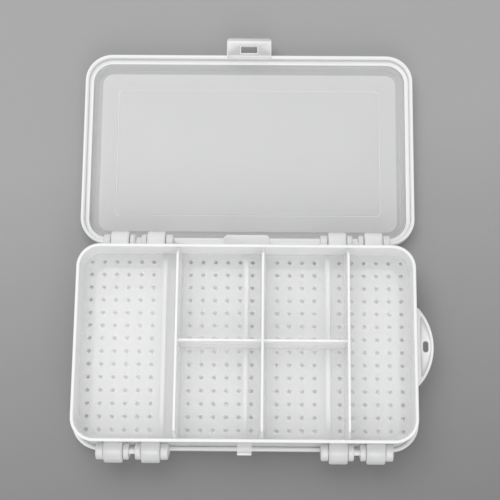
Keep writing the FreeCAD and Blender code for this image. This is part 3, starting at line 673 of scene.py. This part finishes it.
def foot_bead(half_span):
    """A low bead with sloping sides along a divider's foot, carried along X on the floor's face."""
    size = sizes()
    rise, spread, rounding = 0.0004, 0.0003, 0.0001
    low, high, half = size.floor_face - OVERLAP, size.floor_face + rise, size.divider_foot
    outline = np.array([(-half - spread, low), (half + spread, low), (half, high), (-half, high)])
    hub = (0, (low + high) / 2)
    # Its mark whitens it as painted light along the divider's foot
    return rounded_prism(outline, hub, -half_span, half_span, rounding, edge=0.6, rim=0.6)


def long_divider(x, rooted):
    """
    A divider from wall to wall: its outline, with rounded top corners, is made thick and tapered. Its
    root goes that far into the floor.
    """
    size = sizes()
    foot, top, round_top = size.floor_face - rooted, size.divider_top, size.divider_corner
    mouth = size.half_width - size.wall
    end, under_rim = mouth - 0.0010, size.rim - 0.0005
    outline = np.concatenate([
        [(-mouth + OVERLAP, foot), (mouth - OVERLAP, foot), (mouth + OVERLAP, under_rim)],
        arc((end - round_top, top - round_top), round_top, 6, 90, 12),
        arc((round_top - end, top - round_top), round_top, 90, 174, 12),
        [(-mouth - OVERLAP, under_rim)],
    ])
    half = size.divider_foot
    shape = rounded_prism(outline, (0, DIVIDER_HUB), -half, half, size.divider_round, rim=0.0)
    bead, bead_faces, bead_marks = foot_bead(mouth - size.lean)
    turned = np.stack([-bead[:, 1], bead[:, 0], bead[:, 2]], axis=1)
    spots, faces, marks = joined([tapered(shape), (turned, bead_faces, bead_marks)])
    return spots + (x, 0, 0), faces, marks


def cross_divider(start, end):
    """A divider between two long ones: its outline is made thick, tapered and turned across."""
    size = sizes()
    foot, top = size.floor_face - OVERLAP, size.divider_top - 0.00005
    middle, half_span = (start + end) / 2, (end - start) / 2
    low, high = half_span - size.divider_foot / 2, half_span - size.divider_crest / 2
    outline = np.array([(-low, foot), (low, foot), (high, top), (-high, top)])
    half = size.divider_foot
    shape = rounded_prism(outline, (0, DIVIDER_HUB), -half, half, size.divider_round, rim=0.0)
    spots, faces, marks = tapered(shape)
    across = np.stack([spots[:, 1], -spots[:, 0], spots[:, 2]], axis=1)
    spots, faces, marks = joined([(across, faces, marks), foot_bead(low)])
    return spots + (middle, 0, 0), faces, marks


def lid_shell(knuckle_mark_with_painted_light):
    """
    A lid in its closed place: one section from the panel's inner middle over the sunk line, the cove,
    the seat and the lip, round the outer edge to the panel's outer middle, carried round the lid; with
    it two hinges of four knuckles, as white as their mark says, whose whiteness is partly painted light,
    and the latch's seat.
    """
    size = sizes()
    inner = size.lid_top - size.panel
    rim_in = size.lip + size.lip_gap
    hollow = rim_in + size.wall
    line, wide, deep = size.frame_line, size.line_width, size.line_depth
    far_in, crisp, lip_break = 0.030, 0.0001, 0.0008
    profile = rounded_profile([
        (far_in, inner, crisp),
        (line + wide, inner, crisp),
        (line + wide * 0.7, inner + deep, crisp),
        (line + wide * 0.3, inner + deep, crisp),
        (line, inner, crisp),
        (hollow, inner, size.cove),
        (hollow, size.seat, 0.0002),
        (size.lip, size.seat, 0.0002),
        (size.lip, size.lip_edge + lip_break, 0.0003),
        (size.lip - lip_break, size.lip_edge, 0.0003),
        (0, size.lip_edge, 0.0004),
        (0, size.lid_top, size.lid_round),
        (far_in, size.lid_top, crisp),
    ])
    profile = with_stops(profile, 0.0004, hollow + size.cove + 0.0030)
    half_x, half_y = size.half_length + rim_in, size.half_width + rim_in
    points = carried_ring(profile, half_x, half_y, size.corner + rim_in)
    inset, level = profile.T
    # Lip's edge whitened as painted glow of light in it, partly for its thickness; the ledge lifted and its
    # ridge whitened as painted light and a painted highlight; the hollow's wall and the cove's foot made
    # clearer as painted shade, though the plastic there is thick; the sunk line faintly whitened as a painted
    # light line
    lip_band, lip_fade, ledge, ledge_fade, line_painted_light = 0.0011, 0.0006, 0.0019, 0.0003, 0.45
    lip_mark = np.clip((size.lip_edge + lip_band - level) / lip_fade, 0, 1)
    seat_painted_light = np.clip((inset - hollow + ledge) / ledge_fade, 0.7, 1) * (np.abs(level - size.seat) < 0.0003)
    seat_painted_light *= (inset > size.lip - 0.0001) & (inset < hollow + 0.00005)
    wall_share = (inset - hollow + 0.00004) / (size.cove + 0.0012)
    hollow_wall = (level < inner + 0.0001) & (level > size.seat + 0.0003)
    hollow_wall &= (wall_share > 0) & (wall_share < 1)
    hollow_painted_shade = hollow_wall * (0.3 + 0.7 * wall_share)
    in_line = np.abs(inset - line - wide / 2) < wide / 2 - 0.00006
    in_line &= level < size.lid_top - size.panel / 2
    shapes = [grid_shape(points, np.maximum(lip_mark, seat_painted_light) - hollow_painted_shade + line_painted_light * in_line)]

    axis = np.array([size.hinge_y, 0])
    arm_top, arm_out, bore_gap = size.lip_edge + 0.0035, half_y + 0.0009, 0.00005
    spans = ((-0.0174, -0.01385), (-0.0042, -0.00155), (0.00155, 0.0042), (0.01385, 0.0174))
    outline = np.concatenate([
        arc(axis, size.knuckle, 180, 380, 30),
        [(arm_out, arm_top), (half_y - size.lip / 2, arm_top), (half_y - size.lip, size.lip_edge)],
    ])
    for hinge in (-size.hinge_x, size.hinge_x):
        for start, end in spans:
            shapes.append(rounded_prism(
                outline, axis, hinge + start, hinge + end, size.knuckle_round,
                bore=size.pin / 2 + bore_gap, edge=knuckle_mark_with_painted_light, rim=1.0,
            ))
    outside, inside, low, high, half_seat = -half_y + 0.00005, -half_y + 0.0015, 0.0091, 0.0120, 0.0116
    seat = np.array([(outside, low), (inside, low), (inside, high), (outside, high)])
    hub = (-half_y + 0.0008, 0.0105)
    shapes.append(rounded_prism(seat, hub, -half_seat, half_seat, 0.0002, rim=0.5))
    return joined(shapes)


class BOX_OT_tray_walls(bpy.types.Operator):
    """Builds the tray's wall ring, hinge lugs, catches and hanging tab."""

    bl_idname = "box.tray_walls"
    bl_label = "Tray walls"

    def execute(self, context):
        material = plastic("milky_tray")
        make_piece("tray_wall_ring", wall_ring(), upright(), "tray", material, ["tray_walls"])
        make_piece("tray_hinge_lugs", hinge_lugs(), upright(), "tray", material)
        make_piece("tray_catches", catches(), upright(), "tray", material)
        make_piece("tray_hanging_tab", hanging_tab(), upright(), "tray", material)
        return {"FINISHED"}


class BOX_OT_drain_floor(bpy.types.Operator):
    """Builds the perforated floor."""

    bl_idname = "box.drain_floor"
    bl_label = "Drain floor"

    def execute(self, context):
        material = plastic("milky_floor")
        make_piece("drain_floor", floor_plate(), upright(), "tray", material, ["tray_floor"], smooth=False)
        return {"FINISHED"}


class BOX_OT_dividers(bpy.types.Operator):
    """Builds the dividers of both sides."""

    bl_idname = "box.dividers"
    bl_label = "Dividers"

    def execute(self, context):
        size = sizes()
        material = plastic("milky_divider")
        upper_root, lower_root = 0.0001, 0.0013
        for name, x in (
            ("left", size.left_divider), ("middle", size.middle_divider), ("right", size.right_divider),
        ):
            shape = long_divider(x, upper_root)
            make_piece(f"upper_{name}_divider", shape, upright(), "tray", material, [f"divider_{name}"])
        for name, x in (("left", -size.lower_pitch), ("middle", 0), ("right", size.lower_pitch)):
            shape = long_divider(x, lower_root)
            nodes = [f"lower_divider_{name}"]
            make_piece(f"low_{name}_divider", shape, turned_over(), "tray", material, nodes)
        for name, start, end in (
            ("left", size.left_divider, size.middle_divider),
            ("right", size.middle_divider, size.right_divider),
        ):
            make_piece(
                f"cross_{name}_divider", cross_divider(start, end), upright(), "tray", material,
                [f"cross_divider_{name}"],
            )
        return {"FINISHED"}


class BOX_OT_lids(bpy.types.Operator):
    """Builds both lids with their knuckles."""

    bl_idname = "box.lids"
    bl_label = "Lids"

    def execute(self, context):
        # The upper lid's knuckles, shaded in the rear hinge's gaps, get a whiter mark than the lower lid's as
        # painted light
        for name, place, material, knuckle_mark_with_painted_light in (
            ("upper_lid", opened(), "milky_lid", 0.8), ("lower_lid", turned_over(), "milky_base", -0.1),
        ):
            shape = lid_shell(knuckle_mark_with_painted_light)
            make_piece(f"{name}_shell", shape, place, name, plastic(material), [name])
        return {"FINISHED"}


class BOX_OT_latches(bpy.types.Operator):
    """Rounds and dresses both latches."""

    bl_idname = "box.latches"
    bl_label = "Latches"

    def execute(self, context):
        material = plastic("milky_latch")
        for name in ("upper_latch", "lower_latch"):
            softened_copy(f"{name}_flap", name, sizes().latch_round, name, material)
        return {"FINISHED"}


class BOX_OT_hinge_pins(bpy.types.Operator):
    """Dresses the four hinge pins."""

    bl_idname = "box.hinge_pins"
    bl_label = "Hinge pins"

    def execute(self, context):
        for name in PIN_NODES:
            mesh = frame["nodes"][name].data
            mesh.materials.clear()
            mesh.materials.append(plastic("milky_pin"))
        return {"FINISHED"}


class BOX_OT_stage(bpy.types.Operator):
    """Sets the grey table, the soft light and the camera."""

    bl_idname = "box.stage"
    bl_label = "Stage"

    def execute(self, context):
        scene = context.scene
        scene.cycles.max_bounces = 24
        scene.cycles.diffuse_bounces = 12
        scene.cycles.transmission_bounces = 16
        scene.cycles.transparent_max_bounces = 32
        scene.view_settings.view_transform = "Standard"
        half_side, lines, below = 1.5, 7, 0.0002
        line = np.linspace(-half_side, half_side, lines)
        across, along = np.meshgrid(line, line, indexing="ij")
        spots = np.stack([across, along, np.full_like(across, -below)], axis=2).reshape(-1, 3)
        cell = (np.arange(lines - 1)[:, None] * lines + np.arange(lines - 1)).ravel()
        quads = np.stack([cell, cell + lines, cell + lines + 1, cell + 1], axis=1)
        mesh = bpy.data.meshes.new("table_top")
        mesh.from_pydata(spots.tolist(), [], quads.tolist())
        mesh.materials.append(grey_with_painted_falloff("grey_table_painted_falloff", colours().table))
        table = bpy.data.objects.new("table_top", mesh)
        scene.collection.objects.link(table)

        world = bpy.data.worlds.new("soft_room")
        scene.world = world
        world.use_nodes = True
        room = world.node_tree.nodes["Background"]
        room.inputs["Color"].default_value = (1, 1, 1, 1)
        room.inputs["Strength"].default_value = 0.59

        aim = Vector((0, 0.05, 0.02))
        for name, place, side, power in (
            ("key_light", Vector((-0.25, 0.40, 1.2)), 0.8, 5.6),
            ("front_fill", Vector((0.10, -0.80, 0.90)), 0.8, 4.2),
        ):
            lamp = bpy.data.lights.new(name, "AREA")
            lamp.shape = "SQUARE"
            lamp.size = side
            lamp.energy = power
            light = bpy.data.objects.new(name, lamp)
            facing = (aim - place).to_track_quat("-Z", "Y").to_matrix().to_4x4()
            light.matrix_world = Matrix.Translation(place) @ facing
            scene.collection.objects.link(light)

        frame_side, focal = 500, 1250
        principal = (264.8, 250.3)
        tilt, roll, yaw = (math.radians(angle) for angle in (13.25, -0.96, 1.38))
        lens = bpy.data.cameras.new("photo_camera")
        lens.sensor_fit = "HORIZONTAL"
        lens.sensor_width = 36
        lens.lens = lens.sensor_width * focal / frame_side
        lens.shift_x = -(principal[0] - frame_side / 2) / frame_side
        lens.shift_y = (principal[1] - frame_side / 2) / frame_side
        lens.clip_start = 0.01
        camera = bpy.data.objects.new("photo_camera", lens)
        turn = Matrix.Rotation(yaw, 4, "Z") @ Matrix.Rotation(tilt, 4, "X") @ Matrix.Rotation(roll, 4, "Z")
        camera.matrix_world = Matrix.Translation((0.01249, -0.0952, 0.6282)) @ turn
        scene.collection.objects.link(camera)
        scene.camera = camera
        return {"FINISHED"}


class BOX_PT_sidebar(bpy.types.Panel):
    """Lists the box's pieces, sizes and colours in the sidebar."""

    bl_idname = "BOX_PT_sidebar"
    bl_label = "Compartment box"
    bl_space_type = "VIEW_3D"
    bl_region_type = "UI"
    bl_category = "Box"

    def draw(self, context):
        for operator in OPERATORS:
            self.layout.operator(operator.bl_idname)
        for group in (context.scene.box_sizes, context.scene.box_colours):
            column = self.layout.column(align=True)
            for name in group.__annotations__:
                column.prop(group, name)


OPERATORS = (
    BOX_OT_tray_walls, BOX_OT_drain_floor, BOX_OT_dividers, BOX_OT_lids, BOX_OT_latches, BOX_OT_hinge_pins,
    BOX_OT_stage,
)
CLASSES = (BoxSizes, BoxColours) + OPERATORS + (BOX_PT_sidebar,)


def register():
    """Registers the classes and hangs the sizes and colours on the scene."""
    for item in CLASSES:
        bpy.utils.register_class(item)
    bpy.types.Scene.box_sizes = PointerProperty(type=BoxSizes)
    bpy.types.Scene.box_colours = PointerProperty(type=BoxColours)


def unregister():
    """Takes the sizes, the colours and the classes away again."""
    del bpy.types.Scene.box_colours
    del bpy.types.Scene.box_sizes
    for item in reversed(CLASSES):
        bpy.utils.unregister_class(item)


def main():
    """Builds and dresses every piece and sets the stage."""
    register()
    bpy.ops.box.tray_walls()
    bpy.ops.box.drain_floor()
    bpy.ops.box.dividers()
    bpy.ops.box.lids()
    bpy.ops.box.latches()
    bpy.ops.box.hinge_pins()
    bpy.ops.box.stage()


if __name__ == "__main__":
    main()
